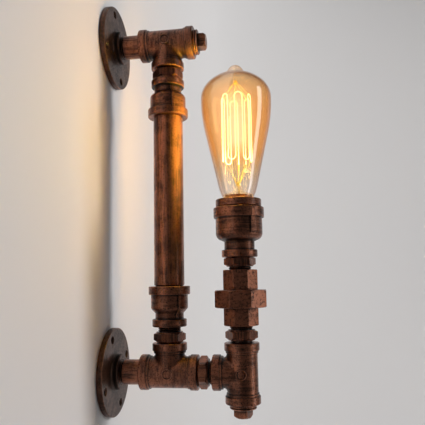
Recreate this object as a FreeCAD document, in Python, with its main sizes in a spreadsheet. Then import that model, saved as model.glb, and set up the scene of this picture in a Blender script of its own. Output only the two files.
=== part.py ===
import FreeCAD, Part
import math
import os
import re
import Sketcher

# Pipe wall light: iron pipe fittings screwed together, carried by two wall flanges, with a
# lamp cup and a filament bulb on a short column in front of the main pipe.
# Frame: millimetres, +Z up, the wall is the plane Y = 0 and the lamp stands out towards -Y.
# The origin is the centre of the lower flange's back face.

Vector = FreeCAD.Vector
Rotation = FreeCAD.Rotation
doc = FreeCAD.newDocument("PipeWallLight")

# Driving sizes: name, value in millimetres or degrees, what it is
SIZES = [
    ("column_reach", 54.5, "wall to the axis of the back column"),
    ("pipe_shown", 158.0, "main pipe between its two sockets"),
    ("arm_gap", 13.0, "between the lower tee and the front tee"),
    ("lower_gap", 14.2, "between the lower tee and the lower reducer"),
    ("upper_gap", 11.1, "between the upper reducer and the upper tee"),
    ("union_gap", 14.8, "between the front tee and the union"),
    ("cup_gap", 11.3, "between the union and the lamp cup"),
    ("fit", 0.05, "radial clearance of a male end in its socket"),
    ("half_thread_r", 10.45, "half inch pipe thread, crest radius"),
    ("half_pipe_r", 11.0, "half inch pipe, outer radius"),
    ("half_bore_r", 7.9, "half inch pipe, bore radius"),
    ("half_grip", 12.0, "half inch thread hidden in a fitting"),
    ("thread_pitch", 1.81, "pipe thread pitch"),
    ("thread_depth", 1.0, "pipe thread depth"),
    ("main_thread_r", 13.45, "three quarter inch pipe thread, crest radius"),
    ("main_pipe_r", 13.75, "main pipe, outer radius"),
    ("main_bore_r", 11.0, "main pipe, bore radius"),
    ("main_grip", 14.0, "main pipe thread hidden in a socket"),
    ("main_runout", 2.2, "main pipe thread left showing at the lower socket"),
    ("flange_r", 39.0, "wall flange radius"),
    ("flange_plate", 5.0, "wall flange plate thickness"),
    ("flange_round", 0.6, "rounding of the flange's front rim"),
    ("hub_r", 15.4, "flange hub radius"),
    ("hub_out", 10.2, "flange hub height from the wall"),
    ("hub_root", 2.2, "fillet where the hub meets the plate"),
    ("hub_round", 1.0, "rounding of the hub's end"),
    ("bolt_circle_r", 31.5, "radius of the wall screw circle"),
    ("bolt_hole_r", 2.6, "wall screw hole radius"),
    ("bolt_sink", 1.4, "countersink of the wall screw holes"),
    ("bolt_count", 4, "wall screw holes in each flange"),
    ("lower_clock", 22.0, "angle at which the lower flange was tightened"),
    ("upper_clock", 18.0, "angle at which the upper flange was tightened"),
    ("nipple_back", 1.5, "wall to the hidden end of a wall nipple"),
    ("nipple_runout", 2.5, "wall nipple thread left showing at the hub"),
    ("mouth_bevel", 0.9, "bevel at the mouth of a half inch port"),
    ("tee_reach", 26.0, "tee centre to the face of each port"),
    ("tee_run_r", 13.7, "tee body radius along the run"),
    ("tee_branch_r", 13.2, "tee body radius along the branch"),
    ("tee_band", 7.0, "length of the bead at a half inch port"),
    ("band_r", 15.5, "bead radius at a half inch port"),
    ("band_round", 0.9, "rounding of the beads"),
    ("step_r", 14.4, "radius of the low step behind a tee's bead"),
    ("step_long", 1.8, "length of that step"),
    ("ring_mark_r", 4.8, "plain raised ring on a tee's sides, outer radius"),
    ("ring_mark_wide", 0.9, "width of that ring"),
    ("ring_mark_proud", 0.4, "how far it stands proud"),
    ("saddle", 3.0, "fillet where the branch meets the run"),
    ("plug_collar_r", 11.8, "plug collar radius"),
    ("plug_collar", 4.2, "plug collar height"),
    ("plug_groove", 0.7, "depth of the groove round the plug collar"),
    ("plug_square", 12.6, "plug head, across flats"),
    ("plug_head", 7.6, "plug head height"),
    ("plug_chamfer", 1.1, "chamfer on the plug head"),
    ("plug_grip", 9.0, "plug thread hidden in the tee"),
    ("upper_plug_turn", 4.0, "angle of the upper plug"),
    ("front_plug_turn", 18.0, "angle of the front plug"),
    ("hex_flats", 25.0, "nipple hexagon across flats"),
    ("hex_high", 7.0, "nipple hexagon height"),
    ("hex_cone", 1.0, "height of the shoulder beside the hexagon"),
    ("hex_cone_r", 11.9, "shoulder radius where the thread begins"),
    ("hex_bevel", 1.1, "how far the hexagon's corners are turned down"),
    ("hex_inset", 0.3, "how far a turned core stays inside the flats"),
    ("lower_hex_up", 1.6, "lower hexagon above the lower tee"),
    ("upper_hex_up", 2.2, "upper hexagon above the upper reducer"),
    ("union_hex_up", 3.2, "union nipple's hexagon above the front tee"),
    ("cup_hex_up", 3.9, "cup nipple's hexagon above the union"),
    ("arm_hex_out", 1.5, "arm hexagon out from the lower tee"),
    ("lower_hex_turn", 12.0, "angle of the lower hexagon"),
    ("upper_hex_turn", 12.0, "angle of the upper hexagon"),
    ("union_hex_turn", 3.0, "angle of the union nipple's hexagon"),
    ("cup_hex_turn", 13.0, "angle of the cup nipple's hexagon"),
    ("arm_hex_turn", -7.0, "angle of the arm hexagon"),
    ("reducer_high", 36.0, "reducing socket, end to end"),
    ("reducer_small_band", 6.7, "bead length at its small end"),
    ("reducer_neck_r", 12.8, "neck radius"),
    ("reducer_neck", 12.0, "height at which the cone starts"),
    ("reducer_cone", 4.2, "height of the cone"),
    ("reducer_body_r", 16.7, "body radius"),
    ("reducer_big_band", 7.6, "bead length at its big end"),
    ("reducer_bead", 2.1, "how far its big bead stands proud"),
    ("cone_round", 3.0, "rounding where the cone meets the body"),
    ("rib_wide", 2.4, "width of the casting ribs"),
    ("rib_proud", 1.1, "how far a rib stands proud"),
    ("upper_rib_turn", 29.0, "angle of the upper reducer's ribs"),
    ("lower_rib_turn", 44.0, "angle of the lower reducer's ribs"),
    ("union_flats", 30.4, "union ends, across flats of the octagon"),
    ("union_low_high", 15.4, "octagon height of the union's lower end"),
    ("union_nut_gap", 0.3, "between the lower octagon and the nut"),
    ("union_top_gap", 0.6, "between the nut and the upper octagon"),
    ("union_top_high", 17.3, "octagon height of the union's upper end"),
    ("nut_flats", 45.2, "union nut across flats"),
    ("nut_high", 15.3, "union nut height"),
    ("nut_lip", 2.8, "thickness of the lip that holds the collar"),
    ("union_thread_r", 19.0, "union thread, crest radius"),
    ("union_pitch", 2.3, "union thread pitch"),
    ("collar_r", 18.2, "radius of the collar under the nut's lip"),
    ("collar_high", 2.6, "height of that collar"),
    ("union_neck_r", 15.6, "neck radius that passes the nut's lip"),
    ("lip_clear", 0.4, "radial clearance of the neck in the lip"),
    ("seat_clear", 0.05, "play under the nut's lip"),
    ("gasket_high", 1.5, "union gasket thickness"),
    ("corner_bevel", 1.3, "how far octagon corners are turned down"),
    ("nut_turn", 4.5, "angle of the union nut"),
    ("union_turn", 6.0, "angle of the union's ends"),
    ("cup_high", 44.7, "lamp cup, end to end"),
    ("cup_small_band", 6.5, "bead length at its small end"),
    ("cup_foot_r", 16.1, "bead radius at its small end"),
    ("cup_neck_r", 13.6, "neck radius"),
    ("cup_neck", 14.0, "height at which the shoulder starts"),
    ("cup_shoulder", 3.3, "rise of the shoulder"),
    ("cup_round", 6.5, "rounding of the shoulder"),
    ("cup_body_r", 21.1, "cup body radius"),
    ("cup_band", 9.4, "bead length at the mouth"),
    ("cup_bead", 1.8, "how far the mouth's bead stands proud"),
    ("cup_bore_r", 17.35, "cup bore radius"),
    ("cup_ledge", 21.8, "height of the ledge that carries the holder"),
    ("cup_ledge_r", 15.0, "bore radius under the ledge"),
    ("cup_floor", 15.8, "height at which the cup's floor starts"),
    ("cup_fall", 2.2, "rise of the cup's floor"),
    ("cup_thread_r", 16.62, "mouth thread, crest radius"),
    ("cup_thread", 6.3, "length of the mouth thread"),
    ("cup_rib_turn", 40.0, "angle of the cup's ribs"),
    ("cup_rib_wide", 4.2, "width of the cup's ribs"),
    ("ring_gap", 0.6, "between the cup and the clamp ring"),
    ("ring_r", 20.7, "clamp ring radius"),
    ("ring_high", 7.0, "clamp ring height"),
    ("ring_round", 1.0, "rounding of the clamp ring"),
    ("ring_bore_r", 15.3, "clamp ring bore radius"),
    ("plate_high", 1.2, "holder seat plate thickness"),
    ("plate_bore_r", 12.6, "holder seat plate, inner radius"),
    ("plate_tab", 6.0, "width of the earth tab"),
    ("plate_tab_in", 4.6, "how far the earth tab reaches in"),
    ("holder_foot_r", 16.4, "holder body, radius of its shoulder"),
    ("holder_neck_r", 15.2, "holder body, radius of its neck"),
    ("holder_floor", 3.5, "holder body, floor thickness"),
    ("holder_top", 1.0, "holder body below the top of the clamp ring"),
    ("shell_crest_r", 13.3, "screw shell, inner crest radius"),
    ("shell_wave", 0.5, "depth of the screw shell's thread"),
    ("shell_wall", 0.3, "screw shell wall"),
    ("shell_high", 23.0, "screw shell height"),
    ("lamp_pitch", 3.62, "lamp thread pitch"),
    ("shell_tab", 5.0, "width of the screw shell's tab"),
    ("rivet_r", 1.2, "rivet shank radius"),
    ("rivet_head_r", 2.1, "rivet head radius"),
    ("rivet_head", 0.8, "rivet head height"),
    ("rivet_in", 2.2, "rivet shank held in a terminal"),
    ("rivet_at", 9.2, "holder rivets, off the axis"),
    ("blade_wide", 5.0, "centre contact width"),
    ("blade_thick", 0.4, "centre contact thickness"),
    ("blade_crown", 3.4, "length of the crown"),
    ("blade_clear", 0.26, "play of the contact under its rivet and over the floor"),
    ("blade_foot", 2.3, "contact foot beyond its rivet"),
    ("terminal_long", 8.6, "terminal block length"),
    ("terminal_wide", 6.4, "terminal block width"),
    ("terminal_high", 5.2, "terminal block height"),
    ("wire_at", 5.4, "wire hole of a terminal, off the axis"),
    ("wire_hole_r", 1.15, "wire hole radius"),
    ("wire_hole", 3.6, "depth of the wire hole"),
    ("wire_r", 1.0, "single core radius"),
    ("screw_r", 1.25, "terminal screw radius"),
    ("screw_head_r", 2.2, "screw head radius"),
    ("screw_head", 1.6, "screw head height"),
    ("screw_slot", 0.6, "screw slot width"),
    ("screw_slot_deep", 0.7, "screw slot depth"),
    ("earth_at", 10.3, "earth screw, off the axis"),
    ("barrel_at", 5.9, "earth eyelet's barrel, off the axis"),
    ("barrel_r", 1.5, "barrel radius"),
    ("barrel_long", 5.4, "barrel length"),
    ("eyelet_r", 2.9, "earth eyelet radius"),
    ("eyelet_thick", 0.8, "earth eyelet thickness"),
    ("cable_r", 2.5, "sleeved cable radius"),
    ("cable_bend", 20.0, "cable bend radius in the front tee"),
    ("cable_in", 9.5, "wall to the cable's inner end"),
    ("core_below", 3.0, "where the cable's cores part, below the cup"),
    ("core_off", 1.46, "cores off the axis there"),
    ("bush_long", 6.0, "inlet bush length"),
    ("bush_bevel", 0.8, "inlet bush chamfer"),
    ("bulb_r", 32.7, "bulb radius"),
    ("bulb_wide_up", 92.0, "widest part of the bulb above the cap"),
    ("bulb_dome", 24.6, "dome above the widest part"),
    ("bulb_neck_r", 14.6, "bulb neck radius"),
    ("bulb_foot_r", 18.2, "bulb radius at the foot of its cone"),
    ("bulb_foot_up", 11.0, "height of that radius above the cap"),
    ("bulb_belly_r", 150.0, "radius of the arc from the cone to the belly"),
    ("bulb_wall", 0.8, "glass thickness"),
    ("pip_r", 10.0, "radius of the tip's foot"),
    ("pip_high", 8.0, "height of the tip above the dome"),
    ("cap_r", 13.1, "cap thread, crest radius"),
    ("cap_wave", 0.6, "cap thread depth"),
    ("cap_wall", 0.3, "cap wall"),
    ("cap_high", 20.4, "cap from its skirt to the end of its thread"),
    ("cap_skirt", 4.2, "height of the skirt above the thread"),
    ("cap_skirt_r", 14.0, "skirt radius at the glass"),
    ("cap_shown", 3.2, "cap above the clamp ring"),
    ("insulator_high", 4.0, "height of the cap's glass insulator"),
    ("button_r", 4.6, "cap's centre contact radius"),
    ("button_high", 1.5, "cap's centre contact height"),
    ("touch_gap", 0.05, "between the cap's contact and the holder's"),
    ("stem_flare_r", 13.6, "stem flare radius"),
    ("stem_r", 4.3, "stem tube radius"),
    ("stem_up", 9.4, "stem tube above the cap"),
    ("rod_r", 0.9, "centre rod radius"),
    ("rod_up", 109.5, "centre rod above the cap"),
    ("cage_r", 13.6, "filament cage radius"),
    ("cage_low", 32.0, "bottom of the filament above the cap"),
    ("cage_high", 62.5, "height of the filament"),
    ("strand_r", 0.28, "filament strand radius"),
    ("strand_count", 12, "strands in the filament"),
    ("hook_r", 0.25, "support wire radius"),
    ("hook_button_r", 1.7, "glass button that holds the support wires"),
    ("hook_button", 3.2, "height of that button"),
    ("hook_past", 0.8, "support wire beyond the filament"),
    ("lead_r", 0.35, "lead-in wire radius"),
    ("lead_off", 2.2, "lead-in wires off the axis in the stem"),
]

sheet = doc.addObject("Spreadsheet::Sheet", "Sizes")
for row, (alias, value, note) in enumerate(SIZES, start=1):
    sheet.set("A%d" % row, alias)
    sheet.set("B%d" % row, str(value))
    sheet.set("C%d" % row, note)
    sheet.setAlias("B%d" % row, alias)
doc.recompute()

# Places worked out from the sizes: name, formula
PLACES = [
    ("run_rise", "2*tee_reach + lower_gap + 2*reducer_high + pipe_shown + upper_gap"),
    ("front_out", "column_reach + 2*tee_reach + arm_gap"),
    ("half_socket_r", "half_thread_r + fit"),
    ("main_socket_r", "main_thread_r + fit"),
    ("reducer_band_r", "reducer_body_r + reducer_bead"),
    ("cup_band_r", "cup_body_r + cup_bead"),
    ("lower_reducer_up", "tee_reach + lower_gap"),
    ("main_up", "lower_reducer_up + reducer_high"),
    ("upper_reducer_up", "main_up + pipe_shown"),
    ("union_up", "tee_reach + union_gap"),
    ("nut_up", "union_low_high + union_nut_gap"),
    ("stub_low", "nut_up + 0.2*union_pitch"),
    ("lip_up", "nut_up + nut_high - nut_lip"),
    ("collar_low", "lip_up - seat_clear - collar_high"),
    ("stub_top", "collar_low - gasket_high"),
    ("union_octagon_low", "nut_up + nut_high + union_top_gap"),
    ("union_top", "union_octagon_low + union_top_high"),
    ("cup_up", "union_up + union_top + cup_gap"),
    ("ring_up", "cup_up + cup_high + ring_gap"),
    ("ring_top", "ring_up + ring_high"),
    ("skirt_up", "ring_top + cap_shown"),
    ("plate_up", "cup_up + cup_ledge"),
    ("holder_up", "plate_up + plate_high"),
    ("floor_up", "holder_up + holder_floor"),
    ("clamp_up", "cup_up + cup_high - cup_thread"),
    ("wave_r", "shell_crest_r + shell_wave + shell_wall + fit"),
    ("button_low", "skirt_up - cap_high - insulator_high - button_high"),
    ("crown_rise", "button_low - touch_gap - floor_up"),
    ("split_up", "union_up + collar_low"),
    ("core_up", "cup_up - core_below"),
]

FUNCTIONS = {"sin", "cos", "tan", "sqrt", "min"}
PLACE_FORMULAS = {}
PARTS = []


def formula(text):
    """Point every name in a formula at the sheet, writing places out in full."""
    def full(match):
        word = match.group()
        if word in FUNCTIONS:
            return word
        return PLACE_FORMULAS.get(word) or "Sizes." + word
    return re.sub(r"[a-z][a-z0-9_]*", full, text)


places = doc.addObject("App::FeaturePython", "Places")
for name, text in PLACES:
    PLACE_FORMULAS[name] = "(%s)" % formula(text)
    places.addProperty("App::PropertyFloat", name, "Places", text)
    places.setExpression(name, PLACE_FORMULAS[name])
doc.recompute()


def size(name):
    """Present value of a size or a place."""
    return getattr(places, name) if name in PLACE_FORMULAS else float(sheet.get(name))


def place(thing, at, spin=None):
    """Bind a part's place, and its turn about its own axis where it has one."""
    for letter, text in zip("xyz", at):
        thing.setExpression("Placement.Base." + letter, formula(text))
    if spin is not None:
        thing.setExpression("Placement.Rotation.Angle", formula(spin))


def keep(thing, label):
    """Give a finished part its name and put it on the list to be written."""
    thing.Label = label
    PARTS.append(thing)
    return thing


def body(label, at=("0", "0", "0"), rotation=None, spin=None):
    """New body for one part, placed by formulas."""
    made = doc.addObject("PartDesign::Body", "Body_" + label)
    if rotation is not None:
        made.Placement = FreeCAD.Placement(Vector(), rotation)
    place(made, at, spin)
    return keep(made, label)


def own_plane(part, role):
    return [face for face in part.Origin.OriginFeatures if face.Role == role][0]


def outline(part, role, corners):
    """Closed sketch of straight lines through corners given as pairs of formulas."""
    sketch = part.newObject("Sketcher::SketchObject", "Sketch")
    sketch.AttachmentSupport = [(own_plane(part, role), "")]
    sketch.MapMode = "FlatFace"
    count = len(corners)
    start = [Vector(50 + 10 * math.cos(2 * math.pi * i / count),
                    10 * math.sin(2 * math.pi * i / count), 0) for i in range(count)]
    lines = [Part.LineSegment(start[i], start[(i + 1) % count]) for i in range(count)]
    sketch.addGeometry(lines, False)
    rules = [Sketcher.Constraint("Coincident", i, 2, (i + 1) % count, 1) for i in range(count)]
    for i, point in enumerate(start):
        rules.append(Sketcher.Constraint("DistanceX", -1, 1, i, 1, point.x))
        rules.append(Sketcher.Constraint("DistanceY", -1, 1, i, 1, point.y))
    sketch.addConstraint(rules)
    for i, (across, up) in enumerate(corners):
        sketch.setExpression("Constraints[%d]" % (count + 2 * i), formula(across))
        sketch.setExpression("Constraints[%d]" % (count + 2 * i + 1), formula(up))
    return sketch


def turned(part, corners, axis="V_Axis", role="XZ_Plane"):
    """Solid turned from (radius, height) corners about the part's own Z axis, or another axis."""
    sketch = outline(part, role, corners)
    made = part.newObject("PartDesign::Revolution", "Revolution")
    made.Profile = sketch
    made.ReferenceAxis = (sketch, [axis])
    made.Angle = 360
    doc.recompute()
    return made


def cut_away(part, corners, axis="V_Axis"):
    """Turned cut, which has to take something away."""
    before = part.Tip.Shape.Volume
    sketch = outline(part, "XZ_Plane", corners)
    made = part.newObject("PartDesign::Groove", "Groove")
    made.Profile = sketch
    made.ReferenceAxis = (sketch, [axis])
    made.Angle = 360
    doc.recompute()
    if made.Shape.Volume > before - 1e-3:
        raise RuntimeError("%s: a cut took nothing away" % part.Label)
    return made


def bore(part, radius, low, high):
    """Round hole along the part's own axis."""
    return cut_away(part, [("0", low), (radius, low), (radius, high), ("0", high)])


def disc(part, role, radius, across, up):
    """Sketch of one circle on a plane of the part."""
    sketch = part.newObject("Sketcher::SketchObject", "Disc")
    sketch.AttachmentSupport = [(own_plane(part, role), "")]
    sketch.MapMode = "FlatFace"
    sketch.addGeometry(Part.Circle(Vector(1, 1, 0), Vector(0, 0, 1), 1), False)
    sketch.addConstraint([Sketcher.Constraint("Radius", 0, 1.0),
                          Sketcher.Constraint("DistanceX", -1, 1, 0, 3, 1.0),
                          Sketcher.Constraint("DistanceY", -1, 1, 0, 3, 1.0)])
    for k, text in enumerate((radius, across, up)):
        sketch.setExpression("Constraints[%d]" % k, formula(text))
    return sketch


def peg(part, radius, x, y, low, high):
    """Round bar beside the part's own axis, between two heights."""
    sketch = disc(part, "XY_Plane", radius, x, y)
    sketch.setExpression("AttachmentOffset.Base.z", formula(low))
    made = part.newObject("PartDesign::Pad", "Pad")
    made.Profile = sketch
    made.setExpression("Length", formula("(%s) - (%s)" % (high, low)))
    doc.recompute()
    return made


def roll(part, radius, across, up, wide):
    """Round bar across the part, half its length to each side of its XZ plane."""
    made = part.newObject("PartDesign::Pad", "Pad")
    made.Profile = disc(part, "XZ_Plane", radius, across, up)
    made.SideType = "Symmetric"
    made.setExpression("Length", formula(wide))
    doc.recompute()
    return made


def drill(part, radius, spots, low, high):
    """Round holes beside the part's own axis, at (x, y) spots, between two heights."""
    sketch = part.newObject("Sketcher::SketchObject", "Holes")
    sketch.AttachmentSupport = [(own_plane(part, "XY_Plane"), "")]
    sketch.MapMode = "FlatFace"
    sketch.setExpression("AttachmentOffset.Base.z", formula(low))
    for i, (x, y) in enumerate(spots):
        sketch.addGeometry(Part.Circle(Vector(20 * i, 30, 0), Vector(0, 0, 1), 1), False)
        sketch.addConstraint([Sketcher.Constraint("Radius", i, 1.0),
                              Sketcher.Constraint("DistanceX", -1, 1, i, 3, 20.0 * i),
                              Sketcher.Constraint("DistanceY", -1, 1, i, 3, 30.0)])
        for k, text in enumerate((radius, x, y)):
            sketch.setExpression("Constraints[%d]" % (3 * i + k), formula(text))
    before = part.Tip.Shape.Volume
    made = part.newObject("PartDesign::Pocket", "Pocket")
    made.Profile = sketch
    made.Reversed = True
    made.setExpression("Length", formula("(%s) - (%s)" % (high, low)))
    doc.recompute()
    if made.Shape.Volume > before - 1e-3:
        raise RuntimeError("%s: a hole took nothing away" % part.Label)
    return made


def block(part, corners, low, high):
    """Straight bar of any outline along the part's own Z axis."""
    sketch = outline(part, "XY_Plane", corners)
    sketch.setExpression("AttachmentOffset.Base.z", formula(low))
    made = part.newObject("PartDesign::Pad", "Pad")
    made.Profile = sketch
    made.setExpression("Length", formula("(%s) - (%s)" % (high, low)))
    doc.recompute()
    return made


def slab(part, corners, wide):
    """Plate of an outline in the part's XZ plane, half its width to each side."""
    sketch = outline(part, "XZ_Plane", corners)
    made = part.newObject("PartDesign::Pad", "Pad")
    made.Profile = sketch
    made.SideType = "Symmetric"
    made.setExpression("Length", formula(wide))
    doc.recompute()
    return made


def prism(part, sides, flats, low, high, spin="0"):
    """Many-sided bar along the part's own axis; at no spin a flat faces -X."""
    corners = []
    for i in range(sides):
        angle = "(%g + %s)" % (360.0 / sides * (i + 0.5), spin)
        reach = "%s/2/cos(%g)" % (flats, 180.0 / sides)
        corners.append(("%s*cos%s" % (reach, angle), "%s*sin%s" % (reach, angle)))
    return block(part, corners, low, high)


def turn_down(part, sides, flats, bevel, low, high):
    """Turn down the corners at both ends of a many-sided bar."""
    inner = "%s/2" % flats
    outer = "%s/2/cos(%g)*1.02" % (flats, 180.0 / sides)
    cut_away(part, [(inner, high), (outer, high), (outer, "%s - %s" % (high, bevel))])
    cut_away(part, [(inner, low), (outer, low), (outer, "%s + %s" % (low, bevel))])


def rings(part, radius, low=-1e9, high=1e9):
    """Names of the circular edges of one radius whose centres lie between two heights."""
    names = []
    for number, edge in enumerate(part.Tip.Shape.Edges, start=1):
        curve = edge.Curve
        if isinstance(curve, Part.Circle) and abs(curve.Radius - radius) < 1e-4:
            if low < curve.Center.z < high:
                names.append("Edge%d" % number)
    return names


def soften(part, edges, radius):
    """Fillet on edges of the part as it is so far."""
    if not edges:
        raise RuntimeError("%s: no edge to round" % part.Label)
    base = part.Tip
    made = part.newObject("PartDesign::Fillet", "Fillet")
    made.Base = (base, edges)
    made.setExpression("Radius", formula(radius))
    doc.recompute()
    return made


def bevel(part, edges, width):
    """Bevel on edges of the part as it is so far."""
    if not edges:
        raise RuntimeError("%s: no edge to bevel" % part.Label)
    base = part.Tip
    made = part.newObject("PartDesign::Chamfer", "Chamfer")
    made.Base = (base, edges)
    made.setExpression("Size", formula(width))
    doc.recompute()
    return made


def thread(start, pitch, crest, depth, turns):
    """Corners of parallel thread ridges, from start upwards."""
    root = "%s - %s" % (crest, depth)
    corners = []
    for k in range(turns):
        corners.append((root, "%s + %d*%s" % (start, k, pitch)))
        corners.append((crest, "%s + %g*%s" % (start, k + 0.5, pitch)))
    corners.append((root, "%s + %d*%s" % (start, turns, pitch)))
    return corners


def whole_turns(length, pitch):
    """Thread ridges that fit a length with a little plain root to spare."""
    return max(0, int((length - 0.05 * pitch) / pitch))


def tube_path(points, radius, most=1e9):
    """Round tube along straight runs joined by tangent arcs, each using up no more of its runs than most."""
    edges = []
    here = points[0]
    arcs = []
    for before, corner, after in zip(points, points[1:], points[2:]):
        inward = (corner - before)
        outward = (after - corner)
        half = inward.getAngle(outward) / 2
        reach = min(most, 0.45 * min(inward.Length, outward.Length))
        bend = reach / math.tan(half)
        first = corner - inward.normalize() * reach
        last = corner + outward.normalize() * reach
        middle = corner + (outward - inward).normalize() * (bend / math.cos(half) - bend)
        edges.append(Part.LineSegment(here, first).toShape())
        edges.append(Part.Arc(first, middle, last).toShape())
        here = last
        arcs.append(bend)
    edges.append(Part.LineSegment(here, points[-1]).toShape())
    return sweep(edges, radius), arcs


def sweep(edges, radius):
    """Round tube along joined edges."""
    path = Part.Wire(edges)
    start = edges[0].valueAt(edges[0].FirstParameter)
    along = edges[0].tangentAt(edges[0].FirstParameter)
    round_end = Part.Wire(Part.Circle(start, along, radius).toShape())
    tube = path.makePipeShell([round_end], True, False)
    ratio = tube.Volume / (math.pi * radius ** 2 * path.Length)
    if abs(ratio - 1) > 0.01:
        raise RuntimeError("a tube's volume is %.3f of its section times its length" % ratio)
    return tube


def formed(label, shape, at, rotation=None):
    """Part whose shape is made directly, placed by formulas."""
    made = doc.addObject("Part::Feature", "Form_" + label)
    made.Shape = shape
    if rotation is not None:
        made.Placement = FreeCAD.Placement(Vector(), rotation)
    place(made, at)
    return keep(made, label)


# The column in front, the cup and all it holds stand on one axis
FRONT = ("0", "-front_out")


def on_front(up):
    return (FRONT[0], FRONT[1], up)


OUTWARDS = Rotation(Vector(1, 0, 0), 90)
DOWNWARDS = Rotation(Vector(1, 0, 0), 180)
BRANCH_UP = Rotation(Vector(0, 0, 1), Vector(-1, 0, 0), Vector(0, -1, 0), "ZXY")
BRANCH_DOWN = Rotation(Vector(0, 0, -1), Vector(1, 0, 0), Vector(0, -1, 0), "ZXY")
BRANCH_TO_WALL = Rotation(Vector(0, 1, 0), Vector(-1, 0, 0), Vector(0, 0, 1), "ZXY")


# Wall flanges: a round plate with a hub for the wall nipple and open screw holes
def wall_flange(label, up, clock):
    part = body(label, ("0", "0", up), OUTWARDS)
    turned(part, [("0", "0"), ("flange_r", "0"), ("flange_r", "flange_plate"),
                  ("hub_r", "flange_plate"), ("hub_r", "hub_out"), ("0", "hub_out")])
    plate = size("flange_plate")
    soften(part, rings(part, size("flange_r"), low=plate / 2), "flange_round")
    soften(part, rings(part, size("hub_r"), high=plate + 0.01), "hub_root")
    soften(part, rings(part, size("hub_r"), low=plate + 0.01), "hub_round")
    bore(part, "half_socket_r", "0", "hub_out")
    bevel(part, rings(part, size("half_socket_r"), low=plate), "mouth_bevel")
    hole = ("bolt_circle_r*cos(%s)" % clock, "bolt_circle_r*sin(%s)" % clock)
    pocket = drill(part, "bolt_hole_r", [hole], "0", "2*flange_plate")
    pattern = part.newObject("PartDesign::PolarPattern", "PolarPattern")
    pattern.Originals = [pocket]
    pattern.Axis = (pocket.Profile[0], ["N_Axis"])
    pattern.Angle = 360
    pattern.setExpression("Occurrences", formula("bolt_count"))
    part.Tip = pattern
    doc.recompute()
    bevel(part, rings(part, size("bolt_hole_r"), low=plate / 2), "bolt_sink")


wall_flange("lower_flange", "0", "lower_clock")
wall_flange("upper_flange", "run_rise", "upper_clock")


# Wall nipples: short half inch pipes, threaded at both ends
def wall_nipple(label, up):
    part = body(label, ("0", "0", up), OUTWARDS)
    low = "nipple_back"
    high = "(column_reach - tee_reach + half_grip)"
    pitch = size("thread_pitch")
    hub_turns = whole_turns(size("hub_out") - size("nipple_back") + size("nipple_runout"), pitch)
    tee_turns = whole_turns(size("half_grip"), pitch)
    tee_start = "(%s - %d*thread_pitch)" % (high, tee_turns)
    rows = [("half_bore_r", low)]
    rows += thread(low, "thread_pitch", "half_thread_r", "thread_depth", hub_turns)
    tee_face = "(column_reach - tee_reach)"
    rows += [("half_pipe_r", "%s + %d.4*thread_pitch" % (low, hub_turns)),
             ("half_pipe_r", "%s - 0.3*thread_pitch" % tee_face),
             ("half_thread_r - thread_depth", tee_face)]
    rows += thread(tee_start, "thread_pitch", "half_thread_r", "thread_depth", tee_turns)
    rows += [("half_bore_r", high)]
    turned(part, rows)


wall_nipple("lower_nipple", "0")
wall_nipple("upper_nipple", "run_rise")


# Tees: cast in one piece, beaded at each port, the run along Z and the branch along X
def tee(label, at, rotation):
    part = body(label, at, rotation)
    bead = "(tee_reach - tee_band)"
    step = "(tee_reach - tee_band - step_long)"
    half = [("tee_run_r", step), ("step_r", step), ("step_r", bead), ("band_r", bead),
            ("band_r", "tee_reach")]
    other = [(across, "-(%s)" % up) for across, up in reversed(half)]
    turned(part, [("0", "-tee_reach")] + other + half + [("0", "tee_reach")])
    turned(part, [("0", "0"), ("0", "tee_branch_r"), (step, "tee_branch_r"), (step, "step_r"),
                  (bead, "step_r"), (bead, "band_r"), ("tee_reach", "band_r"), ("tee_reach", "0")],
           axis="H_Axis")
    soften(part, saddle_edges(part), "min(saddle; 0.9*(%s - tee_run_r))" % step)
    soften(part, rings(part, size("band_r")), "band_round")
    ring_top = "(tee_run_r + ring_mark_proud)"
    turned(part, [("ring_mark_r - ring_mark_wide", "-%s" % ring_top), ("ring_mark_r", "-%s" % ring_top),
                  ("ring_mark_r", ring_top), ("ring_mark_r - ring_mark_wide", ring_top)], role="XY_Plane")
    bore(part, "half_socket_r", "-tee_reach", "tee_reach")
    cut_away(part, [("0", "0"), ("tee_reach", "0"), ("tee_reach", "half_socket_r"), ("0", "half_socket_r")],
             axis="H_Axis")
    bevel(part, rings(part, size("half_socket_r")), "mouth_bevel")


def saddle_edges(part):
    """Edges where the branch meets the run."""
    names = []
    for number, edge in enumerate(part.Tip.Shape.Edges, start=1):
        span = edge.LastParameter - edge.FirstParameter
        spots = [edge.valueAt(edge.FirstParameter + span * share) for share in (0.2, 0.5, 0.8)]
        on_run = all(abs(math.hypot(p.x, p.y) - size("tee_run_r")) < 0.05 for p in spots)
        on_branch = all(abs(math.hypot(p.y, p.z) - size("tee_branch_r")) < 0.05 for p in spots)
        if on_run and on_branch:
            names.append("Edge%d" % number)
    return names


tee("lower_tee", ("0", "-column_reach", "0"), BRANCH_UP)
tee("upper_tee", ("0", "-column_reach", "run_rise"), BRANCH_DOWN)
tee("front_tee", on_front("0"), BRANCH_TO_WALL)


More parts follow.
